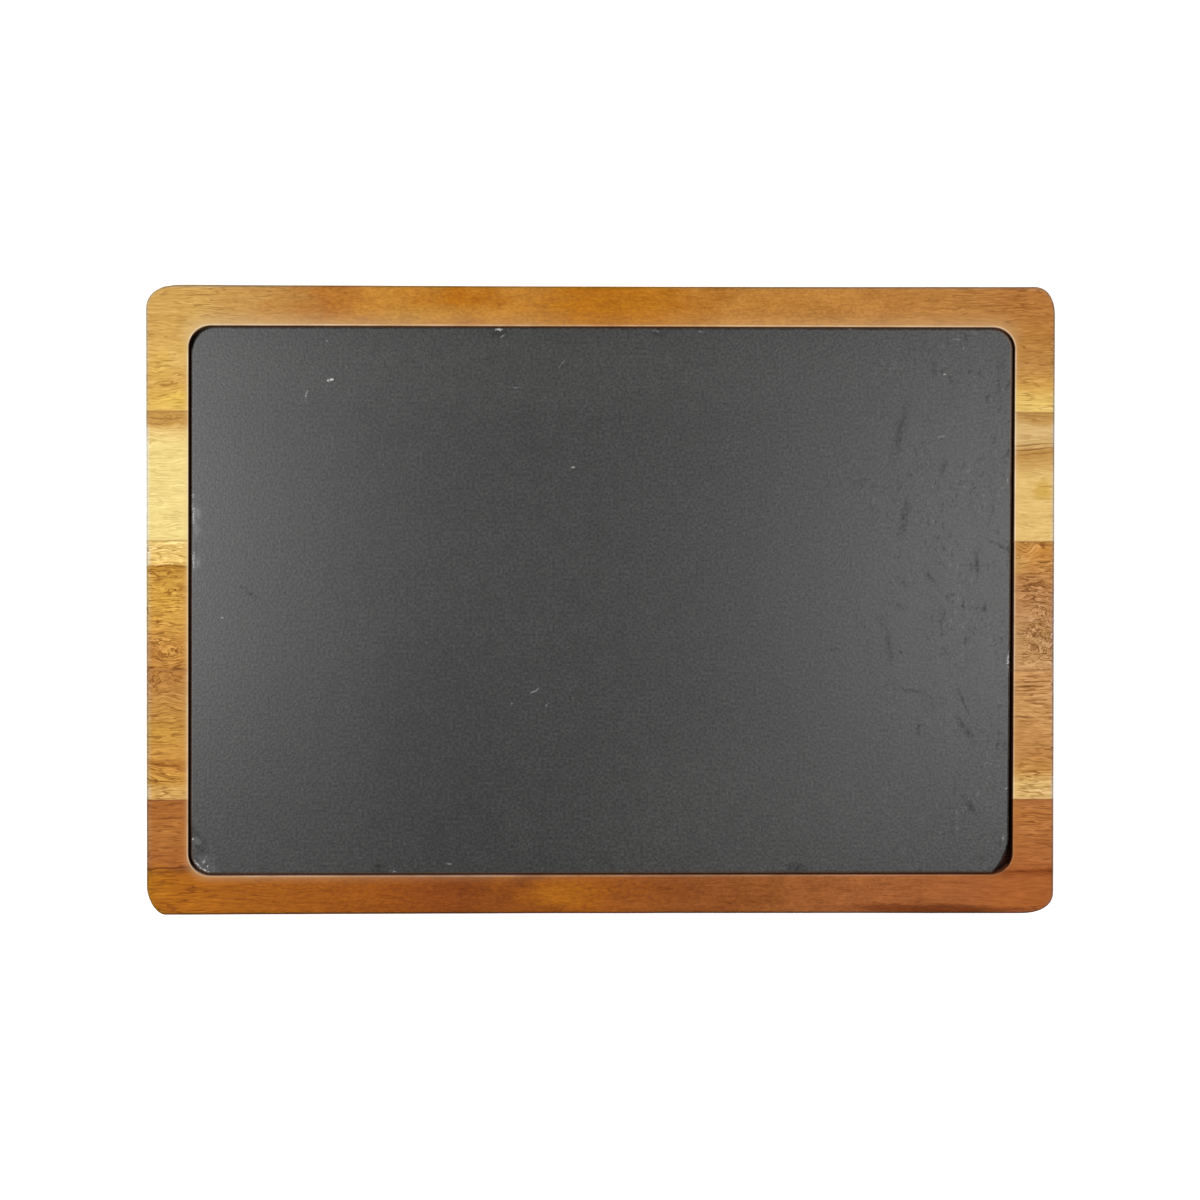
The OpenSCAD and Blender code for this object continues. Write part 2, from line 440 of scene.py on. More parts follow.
# The gap between two growth rings, and between two passes of the cutter
RING_GAP = 2.0
CUTTER_STEP = 9.0
# How far from mid length these start and are full: the colours of a stave's end, its strong lines,
# and its faint blotches
END_COLOURS = (134.0, 150.0)
END_LINES = (96.0, 142.0)
END_BLOTCHES = (96.0, 146.0)
# What is left of the dark arris, a painted shade, from the first place on to the second, along X or Y
FAINT_ARRISES = (("X", -157.0, -162.0, 0.33), ("X", 157.0, 162.0, 0.55), ("Y", 106.0, 112.0, 0.5))
# Heights at which these start and are full: the painted shade of the dark arris, as a drop below the top,
# the finger hole's wall, as a drop below the pocket's floor, and the plain underside
ARRIS_DROP = (1.6, 1.0)
HOLE_DROP = (0.2, 0.6)
UNDERSIDE = (panel_high.z - 1.5, panel_low.z + 2.0)
# Bands round the pocket, by how far outside it they start and are full: the grain that the cutter
# burnished, the painted shade on the walls and on the floor beside them, the floor's middle, and the open rim
BURNISHED = (3.6, 1.0)
WALL_SHADE_RANGE = (0.16, 0.02)
FLOOR_SHADE_RANGE = (-1.2, -2.8)
FLOOR_MIDDLE = (-4.0, -7.0)
OPEN_RIM = (1.0, 1.2)
# The pale band along the pocket: its width, and how much wider it is from one Y to another
PALE_WIDTH = 2.4
PALE_WIDER = ((92.0, 99.0, 5.6), (-92.0, -99.0, 1.6))
# The painted highlight along the board's outline, by how far outside that it starts and is full, the
# corner radius of its inner side, and how much wider it is at the left end, but not on the cream wood
OUTER_BAND = (-1.7, -0.3)
BAND_RADIUS = EDGE_RADIUS + 7
LEFT_END, LEFT_WIDER = (-156.0, -160.0), 0.6
CREAM_WOOD = (21.0, 16.0)
# The dark seam of a glued joint, by how far from the joint it starts and is full
SEAM = (0.45, 0.1)
# A face counts as a side once this little of its normal points up or down
STEEP = (0.93, 0.76)
# How much of a colour below is the wood's own, once the studio's light and the finish's sheen are taken
# off, and the darkest that it gets
SEEN = 0.82
SHEEN = 0.009
DARKEST = 0.002


def acacia(name, low_y, high_y, zones):
    """Oiled acacia, sanded to a satin: wavy streaks and fibres along X, short dark pores, and light and
    dark zones, in a stave between two places on Y. The comment above ZONES says what zones holds."""
    wood, add, shader = new_finish(name)
    place = millimetres(add)
    place_y, height = (add("SeparateXYZ", [place], out=axis) for axis in "YZ")
    depth, wavy = zones["depth"], zones["wavy"]
    width, top = high_y - low_y, panel_high.z

    # The grain wanders a millimetre or two from a straight line, ripples, and swirls in a burl
    grain = place
    for size, reach in (((60, 17, 17), 1.3), ((7, 5, 5), wavy), ((2.4, 2.0, 2.0), 0.25 * wavy)):
        grain = add("VectorMath", [grain, nudge(add, place, size, (0, reach, reach))])
    burl = 0.0
    for x, y, reach_x, reach_y, slope, swirl, dense in zones["turns"]:
        near = off_centre(add, place, (x, y, top), (reach_x, reach_y, 40))
        near = add("MapRange", [near, 1.0, 0.4], **SOFTLY)
        tilt = add("VectorMath SUBTRACT", [place, (x, 0, 0)])
        tilt = add("VectorMath DOT_PRODUCT", [tilt, (slope, 0, 0)], out="Value")
        tilt = add("CombineXYZ", {"Y": tilt})
        shift = nudge(add, place, (4.5, 4.5, 4.5), (swirl, swirl, swirl))
        shift = add("VectorMath", [shift, tilt])
        shift = add("VectorMath SCALE", {0: shift, 3: near})
        grain = add("VectorMath", [grain, shift])
        burl = add("Math MULTIPLY_ADD", [near, dense, burl])
    grain_x, grain_y = (add("SeparateXYZ", [grain], out=axis) for axis in "XY")

    # Fibres are about 0.1 mm wide in acacia, and are drawn four times as coarse so that they show
    fibre = stretched(add, grain, (6, 0.5, 0.5), detail=1.0)
    streak = stretched(add, grain, (26, 1.4, 1.4), detail=3.0, roughness=0.6)
    mottle = stretched(add, place, (11, 6, 6))
    curl = stretched(add, grain, (1.8, 0.9, 0.9), detail=3.0, roughness=0.75)
    curl = add("MapRange", [curl, 0.40, 0.60], **SOFTLY)
    # The vessels are thin wavy lines, in clusters, each dark with a pale one beside it
    cluster = stretched(add, place, (9, 3.0, 3.0))
    cluster = add("MapRange", [cluster, 0.36, 0.60, 0.08, 1.0])
    cluster = add("Math", [cluster, burl], use_clamp=True)
    bed = stretched(add, grain, (11, 1.2, 1.2), detail=1.0)
    vessel = add("Math MULTIPLY", [contour(add, bed, 0.47, 0.06), cluster])
    fleck = add("Math MULTIPLY", [contour(add, bed, 0.56, 0.05), cluster])
    pore = stretched(add, place, (1.1, 0.7, 0.7), detail=1.0)
    pore = add("MapRange", [pore, 0.40, 0.30], **SOFTLY)
    # Growth rings are seen edge-on on the faces and as arcs on the end grain
    across = add("VectorMath SUBTRACT", [grain, (0, *zones["heart"])])
    across = add("VectorMath MULTIPLY", [across, (0, 1, 1)])
    across = add("VectorMath LENGTH", [across], out="Value")
    rings = add("TexNoise", {"W": across, "Scale": 1 / RING_GAP, "Detail": 2.0}, noise_dimensions="1D")

    # Colour zones along the stave, across it at its two ends, and in patches
    drift = add("Math MULTIPLY_ADD", [mottle, 34.0, -17.0])
    zone_x = passed(add, grain_x, ("Math", drift), ("MapRange", -PANEL_L / 2, PANEL_L / 2))
    colour = ramp(add, zone_x, [(x / PANEL_L + 0.5, hex_colour) for x, hex_colour in zones["middle"]])
    drift = add("Math MULTIPLY_ADD", [streak, 3.0, -1.5])
    zone_y = passed(add, grain_y, ("Math", drift), ("MapRange", low_y, high_y))
    for end, sign in (("left", -1), ("right", 1)):
        end_colour = ramp(add, zone_y, [((y - low_y) / width, hex_colour) for y, hex_colour in zones[end]])
        at_end = add("MapRange", [grain_x, *(sign * x for x in END_COLOURS)], **SOFTLY)
        colour = coated(add, colour, at_end, end_colour)
    for x, y, reach_x, reach_y, hex_colour, strength in zones["patches"]:
        near = off_centre(add, grain, (x, y, top), (reach_x, reach_y, 20))
        near = add("MapRange", [near, 1.2, 0.3, 0.0, strength], **SOFTLY)
        colour = coated(add, colour, near, linear(hex_colour))
    # The studio light is brighter than one, and the finish adds a little of its own white
    colour = add("VectorMath MULTIPLY_ADD", [colour, [SEEN] * 3, [-SHEEN] * 3])
    colour = add("VectorMath MAXIMUM", [colour, [DARKEST] * 3])

    # Where a place is in the panel's thickness: on its top edge, above the pocket's floor, or nearer its
    # plain underside, which shows more lines and fewer blotches
    arris = add("MapRange", [height, *(top - drop for drop in ARRIS_DROP)])
    hole = add("MapRange", [height, *(floor_z - drop for drop in HOLE_DROP)])
    above = add("Math SUBTRACT", [1.0, hole])
    under = add("MapRange", [height, *UNDERSIDE, 0.0, 0.9])
    # How far a place lies outside the pocket. The cutter has burnished the grain next to it
    pocket = add("VectorMath SUBTRACT", [place, (*POCKET_PLACE, 0)])
    skew = add("VectorMath DOT_PRODUCT", [place, (0, POCKET_SKEW, 0)], out="Value")
    pocket = add("VectorMath SUBTRACT", [pocket, add("CombineXYZ", [skew])])
    beyond = rounded_rectangle(add, pocket, *POCKET_HALF, POCKET_RADIUS)
    burnished = add("MapRange", [beyond, *BURNISHED, 1.0, 0.4])
    mid_floor = add("MapRange", [beyond, *FLOOR_MIDDLE])
    near_edge = add("Math SUBTRACT", [1.0, mid_floor])
    near_edge = add("Math MULTIPLY", [near_edge, above])

    # Dark grain is browner than light grain, and not just darker
    from_middle = add("Math ABSOLUTE", [grain_x])
    lines = add("MapRange", [from_middle, *END_LINES, zones["calm"], 1.0])
    lines = passed(add, lines, ("Math MULTIPLY", burnished), ("Math MAXIMUM", under))
    plain = add("Math MULTIPLY_ADD", [under, -0.7, 1.0])
    blotches = passed(add, from_middle, ("MapRange", *END_BLOTCHES, 1.2, 0.25), ("Math MULTIPLY", plain))
    tone = swing(add, ((streak, 0.5), (fibre, 1.2), (rings, 0.4)), depth)
    tone = add("Math MULTIPLY_ADD", [tone, lines, 0.5])
    tone = add("Math MULTIPLY_ADD", [swing(add, ((mottle, 0.5), (curl, 0.2))), blotches, tone])
    dark, light = (add("VectorMath MULTIPLY", [colour, tint]) for tint in (DARK_GRAIN, LIGHT_GRAIN))
    colour = coated(add, dark, tone, light)
    for pattern, where, strength, tint in (
        (vessel, lines, 0.85, VESSEL), (fleck, lines, 0.65, FLECK), (pore, blotches, 0.5, PORE)
    ):
        share = add("Math MULTIPLY", [pattern, where])
        share = add("Math MULTIPLY", [share, strength * depth], use_clamp=True)
        colour = coated(add, colour, share, tint)
    # The oil darkens a hair's breadth of wood along each glued joint
    inland = passed(add, place_y, ("Math SUBTRACT", (low_y + high_y) / 2), ("Math ABSOLUTE",))
    seam = add("MapRange", [inland, *(width / 2 - start for start in SEAM), 0.0, 0.55])
    colour = coated(add, colour, seam, OILED_SEAM)

    # Sanding leaves the rim paler next to the pocket, a painted highlight lightens it along the board's outer
    # arris, and the pocket's eased edge is all but bare, with a painted highlight on it too
    reach = PALE_WIDTH
    for start, end, more in PALE_WIDER:
        reach = add("Math", [add("MapRange", [grain_y, start, end, 0.0, more]), reach])
    pale = along(add, grain_x, zones["pale"])
    inner = add("Math SUBTRACT", [1.0, add("Math DIVIDE", [beyond, reach])], use_clamp=True)
    inner = passed(add, inner, ("Math POWER", 2.0), ("Math MULTIPLY", pale), ("Math MULTIPLY", near_edge))
    colour = coated(add, colour, inner, linear("#D7B98C", SEEN))
    # A painted highlight along the board's outer arris, wider at the left end but not on the cream wood
    wider = add("MapRange", [grain_x, *LEFT_END, 0.0, LEFT_WIDER])
    not_cream = add("MapRange", [grain_y, *CREAM_WOOD])
    outer = rounded_rectangle(add, place, PANEL_L / 2, PANEL_W / 2, BAND_RADIUS)
    outer = add("Math MULTIPLY_ADD", [wider, not_cream, outer])
    outer = passed(add, outer, ("MapRange", *OUTER_BAND), ("Math MULTIPLY", arris))
    colour = coated(add, colour, outer, OUTER_ARRIS_HIGHLIGHT)
    # The pocket's eased edge: bare wood, brightened more by a painted highlight
    bare_lit_share = add("MapRange", [beyond, POCKET_EDGE * 1.05, POCKET_EDGE * 0.6])
    patchy = add("MapRange", [mottle, 0.36, 0.62, 0.45, 0.9])
    bare_lit_share = passed(add, bare_lit_share, ("Math MULTIPLY", patchy), ("Math MULTIPLY", near_edge))
    bare_lit = add("VectorMath MULTIPLY", [colour, BARE_LIT_POCKET_EDGE])
    bare_lit = coated(add, bare_lit, along(add, grain_x, zones["bare_lit"]), linear("#E6D2B2"))
    colour = coated(add, colour, bare_lit_share, bare_lit)

    # Painted shade in the pocket: its walls are painted near black, its floor darkest beside them, and the
    # back and front walls are shaded and lit by the way they face
    slope = add("NewGeometry", out="Normal")
    slope_x, slope_y, slope_z = (add("SeparateXYZ", [slope], out=axis) for axis in "XYZ")
    inside = passed(add, beyond, ("MapRange", *WALL_SHADE_RANGE), ("Math MULTIPLY", above))
    beyonds = add("CombineXYZ", [beyond] * 3)
    pocket_shade = {"Vector": beyonds, 7: [FLOOR_SHADE_RANGE[0]] * 3, 8: [FLOOR_SHADE_RANGE[1]] * 3, 9: WALL_SHADE, 10: BY_WALL_SHADE}
    pocket_shade = add("MapRange", pocket_shade, out="Vector", data_type="FLOAT_VECTOR")
    pocket_shade = add("Mix", {0: mid_floor, 4: pocket_shade, 5: MID_FLOOR_SHADE}, out=1, data_type="VECTOR")
    for sign, facing_shade in ((-1, BACK_WALL_SHADE), (1, FRONT_WALL_LIGHT)):
        wall = add("MapRange", [slope_y, 0.5 * sign, 0.9 * sign])
        pocket_shade = add("Mix", {0: wall, 4: pocket_shade, 5: facing_shade}, out=1, data_type="VECTOR")
    colour = coated(add, colour, inside, add("VectorMath MULTIPLY", [colour, pocket_shade]))
    # The cutter cleared the floor in passes, and left a faint ridge between each two
    ridge = passed(add, place_y, ("Math PINGPONG", CUTTER_STEP / 2), ("MapRange", 0.35, 0.1))
    ridge = passed(add, ridge, ("Math MULTIPLY", mid_floor), ("Math MULTIPLY", above))
    colour = coated(add, colour, add("Math MULTIPLY", [ridge, 0.5]), RIDGE)
    # The board's sides and the finger hole's are painted dark: partly oil, which end grain drinks the most,
    # and partly painted shade on their steep faces and along the top's arris
    on_rim = passed(add, beyond, ("MapRange", *OPEN_RIM), ("Math MAXIMUM", hole))
    side = passed(add, slope_z, ("Math ABSOLUTE",), ("MapRange", *STEEP), ("Math MULTIPLY", on_rim))
    shaded_edge = passed(add, beyond, ("MapRange", 0.0, -1.0), ("Math MAXIMUM", arris))
    for axis, start, end, left_over in FAINT_ARRISES:
        faint = add("MapRange", [grain_x if axis == "X" else grain_y, start, end, 1.0, left_over])
        shaded_edge = add("Math MULTIPLY", [shaded_edge, faint])
    end_grain = passed(add, slope_x, ("Math ABSOLUTE",), ("Math MULTIPLY_ADD", 0.21, 0.12))
    side = passed(add, shaded_edge, ("Math MAXIMUM", end_grain), ("Math MULTIPLY", side))
    colour = coated(add, colour, side, OILED_AND_SHADED_SIDE)

    relief = passed(add, fibre, ("Math MULTIPLY_ADD", 0.6, bed), ("Math SUBTRACT", vessel), ("Math", ridge))
    bump = add("Bump", {"Height": relief, "Strength": 0.5, "Distance": 0.1 * MM})
    rough = add("Math MULTIPLY_ADD", [mottle, 0.12, 0.42])
    plug(shader, {"Base Color": colour, "Roughness": rough, "Normal": bump, "Specular IOR Level": 0.08})
    return wood


# What each stave's wood is like. left and right are colour zones across its two ends, from
# its front to its back, and middle is zones along it: a place in millimetres, and the colour there.
# patches: a place, a reach, a colour and how strongly it shows. turns: a place and a reach where the
# grain runs at a slope, how far it swirls there, and how many more lines it has. heart is the middle of
# the tree, seen along the stave. depth is how strong the grain is, and calm how much of that is left at
# mid length, where the wood is cut flatter to its rings. wavy is how far its lines ripple. pale is how
# pale the rim is beside the pocket, and the last entry how bare the pocket's edge is and how strong its
# painted highlight: left, mid length and right.
ZONES = {
    "back_stave": {
        "slot": "acacia_golden",
        "left": [(68.5, "#E7C066"), (74, "#DFB458"), (79, "#D1A355"), (87, "#DBB164"), (97, "#D3A85C"),
                 (113, "#CB9F57")],
        "right": [(68.5, "#E8C474"), (72, "#E6C06C"), (77, "#D3A254"), (85, "#BD894A"), (96, "#B87F40"),
                  (112, "#B5783D")],
        "middle": [(-160, "#CCA05A"), (-125, "#C39350"), (-100, "#B17231"), (-74, "#BF8436"),
                   (-52, "#B36D19"), (-30, "#BC8034"), (-8, "#B5711C"), (20, "#B67422"), (45, "#BB803B"),
                   (160, "#B98045")],
        "patches": [(-160, 85, 5, 7, "#DDB456", 0.5), (-154, 73, 7, 3, "#E9C560", 0.5),
                    (-60, 104, 22, 3.5, "#C08C3E", 0.6)],
        "turns": [(-156, 80, 12, 10, -0.12, 0.3, 0.2)],
        "heart": (60, -40), "depth": 0.7, "calm": 0.3, "wavy": 0.22,
        "pale": (0.6, 0.1, 0.36), "bare_lit": (0.6, 0.4, 0.5),
    },
    "back_inner_stave": {
        "slot": "acacia_sapwood",
        "left": [(21.5, "#F1DA90"), (56, "#F1D98F"), (61, "#E6C47C"), (63.5, "#C89A52"), (68, "#C0934C")],
        "right": [(21.5, "#E5C079"), (44, "#E3BE77"), (49.5, "#D0A562"), (53, "#C08F4C"), (57.5, "#D8B478"),
                  (63, "#DAB67C"), (65.5, "#C99F60"), (68, "#BD8F4E")],
        "middle": [(-130, "#EBD088"), (0, "#D2A860"), (130, "#DDB76F")],
        "patches": [(160.5, 39.8, 4.5, 4, "#CBA03E", 0.65), (160, 65, 7, 2.2, "#B98A48", 0.6),
                    (156, 56.4, 11, 0.45, "#8A5F30", 0.75), (156, 54.6, 11, 0.45, "#8A5F30", 0.8),
                    (158, 52.9, 8, 0.4, "#966A38", 0.6), (158, 66.8, 8, 0.35, "#946434", 0.6),
                    (-158, 65.6, 9, 0.5, "#A0703A", 0.6), (-160, 63.6, 6, 0.4, "#A0703A", 0.6)],
        "turns": [(156, 55, 16, 5, -0.11, 0, 0), (-157, 65, 10, 4, 0, 0.8, 0.4)],
        "heart": (70, -60), "depth": 0.42, "calm": 1, "wavy": 0.3,
        "pale": (0.4, 0.4, 0.4), "bare_lit": (0.3, 0.4, 0.6),
    },
    "middle_stave": {
        "slot": "acacia_heartwood",
        "left": [(-25.3, "#BF8641"), (-18, "#CB9347"), (0, "#D3A14C"), (9.5, "#CC9A45"), (12.2, "#B98433"),
                 (13.6, "#E6BF70"), (21, "#EDCD80")],
        "right": [(-25.3, "#C59763"), (-12, "#BD8F5F"), (3, "#B88453"), (14, "#C28A4A"), (21, "#C48C49")],
        "middle": [(-130, "#CB9646"), (0, "#BE8846"), (130, "#B4834E")],
        "patches": [(161, 18, 4.5, 3.5, "#B9772C", 0.4), (151, 15, 4.5, 6, "#CDA05C", 0.6),
                    (152, 3, 4, 6, "#C08A58", 0.6), (-158, 1, 6, 9, "#D4A03F", 0.5),
                    (-163, -18, 4, 6, "#B97C40", 0.5), (-157, 12.6, 10, 0.5, "#8C5C1C", 0.75),
                    (-157, 10.6, 8, 0.35, "#9A6A26", 0.7), (161, 14.6, 3.5, 0.6, "#6E4420", 0.75),
                    (152, 2.6, 6, 0.4, "#8A5A2C", 0.6), (159, 4.5, 5, 0.5, "#8A5A2C", 0.7)],
        "turns": [(162, -12, 10, 17, 0, 2.2, 0.9), (148, 18, 12, 9, 0.55, 0.1, 0.4),
                  (160, 4, 8, 6, 0.2, 0.8, 0.4), (-158, -18, 9, 5, 0, 1.6, 0.7)],
        "heart": (30, -50), "depth": 1.15, "calm": 1, "wavy": 0.55,
        "pale": (0.5, 0.3, 0.22), "bare_lit": (0.4, 0.4, 0.3),
    },
    "front_inner_stave": {
        "slot": "acacia_honey",
        "left": [(-72, "#CFA15B"), (-68, "#D3A65E"), (-66, "#C69041"), (-62, "#CA9244"), (-60, "#B67A37"),
                 (-57, "#CB9447"), (-45, "#C49145"), (-33, "#BE8948"), (-26, "#B77E3F")],
        "right": [(-72, "#E6C080"), (-66, "#E2BA78"), (-62, "#C89450"), (-56, "#C28A51"), (-40, "#C8965D"),
                  (-26, "#CF9B64")],
        "middle": [(-130, "#BF8B44"), (0, "#B98648"), (130, "#BF8B54")],
        "patches": [(-160, -48, 7, 6, "#CB973F", 0.4), (160, -58, 6, 5, "#B87F42", 0.45),
                    (-159, -60.3, 7, 0.6, "#8E571F", 0.8), (-158, -65.4, 10, 0.25, "#6E4317", 0.8),
                    (155, -30, 11, 0.25, "#7E522A", 0.75), (155, -31.7, 11, 0.25, "#85582E", 0.75),
                    (155, -33.2, 11, 0.25, "#7E522A", 0.7), (155, -34.7, 11, 0.24, "#85582E", 0.6),
                    (159, -36.6, 7, 0.24, "#7E522A", 0.7), (154, -42.8, 6, 0.35, "#85582E", 0.7)],
        "turns": [(-160, -29, 7, 7, 0, 1.4, 0.7), (-154, -37, 8, 6, 0.3, 0.2, 0.1),
                  (-158, -62, 14, 6, 0.12, 0.2, 0.1), (156, -33, 14, 6, 0, 0, 0.35)],
        "heart": (-110, -40), "depth": 0.95, "calm": 1, "wavy": 0.28,
        "pale": (0.6, 0.4, 0.15), "bare_lit": (0.4, 0.2, 0.2),
    },
    "front_stave": {
        "slot": "acacia_russet",
        "left": [(-113, "#AC6618"), (-100, "#AA651D"), (-98.4, "#8C5220"), (-96.5, "#A66431"),
                 (-85, "#B17237"), (-73, "#A66630")],
        "right": [(-113, "#AC6332"), (-100.5, "#A86132"), (-98.4, "#8C4A22"), (-96, "#AB6737"),
                  (-84, "#B2713D"), (-77, "#B9783F"), (-73, "#B07040")],
        "middle": [(-155, "#AC661F"), (-115, "#9F5B1E"), (-80, "#985414"), (-56, "#874717"), (-38, "#884B1F"),
                   (-16, "#9C5716"), (6, "#985623"), (30, "#8D5027"), (62, "#93572C"), (90, "#A06035"),
                   (155, "#A36034")],
        "patches": [(-161, -103, 7, 8, "#B2701A", 0.6), (-14, -106, 17, 6, "#AA6818", 0.6),
                    (-158, -97.6, 13, 0.35, "#6E3A14", 0.8), (156, -98, 16, 0.4, "#7A3C1A", 0.5),
                    (-157, -78.6, 9, 0.4, "#85481F", 0.6), (122, -112.3, 40, 2.1, "#6E361A", 0.85)],
        "turns": [(156, -81, 16, 9, 0, 0, 1), (140, -105, 40, 9, 0, 0, -1)],
        "heart": (-130, -60), "depth": 0.75, "calm": 0.5, "wavy": 0.2,
        "pale": (0.36, 0.05, 0), "bare_lit": (0.34, 0.18, 0.05),
    },
}

for name in STAVES:
    low, high = board_span(name)
    zones = ZONES[name]
    wood = acacia("oiled_acacia_" + name, low.y, high.y, zones)
    saw(panel, name, wood)

# Cured wood glue shows as a thin brown line
glue, add, shader = new_finish("cured_wood_glue")
smeared = stretched(add, millimetres(add), (2.5, 2.5, 2.5))
plug(shader, {"Base Color": ramp(add, smeared, [(0.3, "#5A3A18"), (0.7, "#A87A40")])})
for name in GLUE_LINES:
    saw(panel, name, glue)
panel.free()

# Slate plate
# A plate of riven slate, split along its bed and rubbed nearly flat, with sawn sides. Its arris is
# eased by hand and chipped here and there, and its front right corner was nibbled off. It lies loose.
SLATE_CORNERS = {
    (1, 1): (7.8, 7.8, 2.0), (-1, 1): (8.4, 10.4, 2.0),
    (-1, -1): (7.6, 7.6, 2.0), (1, -1): (6.6, 12.4, 1.5),
}
SLATE_ARRIS = 0.6
# The arris from the top face down: how far in and how far down it is, as shares of SLATE_ARRIS
ARRIS_SHARES = [(1.5, 0.0), (1.0, 0.0), (0.32, 0.3), (0.0, 1.0)]
SLATE_GRID = 1.4
SLATE_CLEAR = 1.8
# It is cut out of square by a hair, and doesn't lie quite in the middle
SLATE_SPARE = (0.0, -0.02)
SLATE_PLACE = (0.07, -0.12)
SLATE_SKEW = 0.0042
SLATE_TAPER = 0.000012
# How far its sawn sides waver, and how deep each face swells and steps
SLATE_WAVER = 0.08
TOP_SWELL, TOP_STEP = 0.02, 0.015
UNDER_SWELL, UNDER_STEP = 0.1, 0.1
# Where along X its top starts to be riven, where it is so in full, and where its flakes show in full
RIVEN_FROM, RIVEN_TO, FLAKES_TO = 70, 130, 120
# The corner radius of the brown painted on its eased edge as a reflection of the wood beside it, by how
# far outside its outline that starts and is full, and how far below its top
ARRIS_REFLECTION_RADIUS = 8.0
ARRIS_REFLECTION = (-0.8, -0.4)
ARRIS_REFLECTION_DROP = (1.6, 0.8)
# Chips along its edge: a place, the chip's reach, and how deep it goes
CHIPS = [
    (-148.6, -93.5, 5.5, 0.34), (-146, -97, 4, 0.3), (-149, -86.5, 2.6, 0.45), (-149, -84.2, 1.6, 0.4),
    (-149, 32, 1.3, 0.25), (-149, 26, 1.2, 0.2), (-149, 14, 1.3, 0.2), (149, -22, 1.4, 0.3),
    (149, 43.5, 1.2, 0.2), (-37, 99.2, 2.2, 0.4), (20, 99.2, 1.8, 0.35), (70, -99.2, 2, 0.3),
    (-80, -99.2, 2.2, 0.3),
]

slate_low, slate_high = board_span("slate_plate")
slate_l, slate_w = slate_high.x - slate_low.x, slate_high.y - slate_low.y
slate_half = (slate_l / 2 - SLATE_SPARE[0], slate_w / 2 - SLATE_SPARE[1])


def slate_ring(inset):
    """The slate's outline, this far inside it, with the slight waver of a sawn and rubbed side."""
    corners = {key: (a - inset, b - inset, power) for key, (a, b, power) in SLATE_CORNERS.items()}
    sides = outline(slate_half[0] - inset, slate_half[1] - inset, corners)
    return [place - normal * SLATE_WAVER * (0.5 + 0.5 * wave(place, 6, 6, 5.0)) for place, normal in sides]


def clamped(value):
    return min(1.0, max(0.0, value))


def chipped(place):
    """How deep the chips go at a place."""
    depth = 0
    for x, y, reach, deep in CHIPS:
        away = math.hypot(place.x - x, place.y - y) / reach + 0.35 * wave(place, 1.2, 1.2, 2.0)
        depth = max(depth, deep * clamped((1.35 - away) * 1.6))
    return depth


def top_face(place):
    """The top of the slate: nearly flat, with shallow splits towards its right end."""
    swell = TOP_SWELL * (1 + wave(place, 40, 30, 0.7))
    riven = clamped((place.x - RIVEN_FROM) / (RIVEN_TO - RIVEN_FROM))
    step = TOP_STEP * riven * clamped(wave(place, 9, 26, 4.2) * 5)
    return slate_high.z - swell - step - chipped(place)


def under_face(place):
    """The underside: riven and left rough, but for where the pads stick."""
    swell = UNDER_SWELL * (1 + wave(place, 22, 14, 9.3))
    return slate_low.z + swell + UNDER_STEP * clamped(4 * wave(place, 14, 9, 12.5))


def well_inside(place):
    """Whether a place on a face of the slate keeps clear of its rim."""
    reach_x, reach_y, power = SLATE_CORNERS[(1 if place.x > 0 else -1, 1 if place.y > 0 else -1)]
    x = (abs(place.x) - slate_l / 2 + reach_x) / (reach_x - SLATE_CLEAR)
    y = (abs(place.y) - slate_w / 2 + reach_y) / (reach_y - SLATE_CLEAR)
    return max(x, y) < 1 and max(0, x) ** power + max(0, y) ** power < 1


def slate_face(work, rim, height):
    """Fills a ring of vertices with a face of small triangles at this height."""
    inner = [Vector((v.co.x, v.co.y)) / MM for v in rim]
    columns, rows = int(slate_l / SLATE_GRID), int(slate_w / SLATE_GRID)
    grid = [
        Vector((-slate_l / 2 + i * SLATE_GRID, -slate_w / 2 + j * SLATE_GRID))
        for i in range(columns + 1)
        for j in range(rows + 1)
    ]
    points = inner + [place for place in grid if well_inside(place)]
    loop = [(i, (i + 1) % len(inner)) for i in range(len(inner))]
    places, _, triangles, origins, _, _ = geometry.delaunay_2d_cdt(points, loop, [], 1, 0.0001)
    verts = {}
    for i in sorted({i for triangle in triangles for i in triangle}):
        if origins[i] and origins[i][0] < len(rim):
            verts[i] = rim[origins[i][0]]
        else:
            verts[i] = work.verts.new((places[i].x * MM, places[i].y * MM, height(places[i]) * MM))
    for triangle in triangles:
        work.faces.new([verts[i] for i in triangle])


slate_mesh = bmesh.new()
slate_rows = []
for inset, drop in ARRIS_SHARES:
    ring = slate_ring(inset * SLATE_ARRIS)
    slate_rows.append([Vector((p.x, p.y, top_face(p) - drop * SLATE_ARRIS * (1 + chipped(p)))) for p in ring])
for share in (0.25, 0.5, 0.75):
    height = slate_high.z - SLATE_ARRIS - share * (slate_high.z - slate_low.z - 2 * SLATE_ARRIS)
    beds = [(p, 1 - 0.0007 * (1 + wave(p, 5, 5, height / 0.6))) for p in slate_ring(0.0)]
    slate_rows.append([Vector((p.x * bed, p.y * bed, height)) for p, bed in beds])
for inset, rise in ((0.0, SLATE_ARRIS), (SLATE_ARRIS, 0.0)):
    slate_rows.append([Vector((p.x, p.y, under_face(p) + rise)) for p in slate_ring(inset)])
slate_rows = [[slate_mesh.verts.new(place * MM) for place in row] for row in slate_rows]
join_rows(slate_mesh, slate_rows)
slate_face(slate_mesh, slate_rows[0], top_face)
slate_face(slate_mesh, slate_rows[-1], under_face)
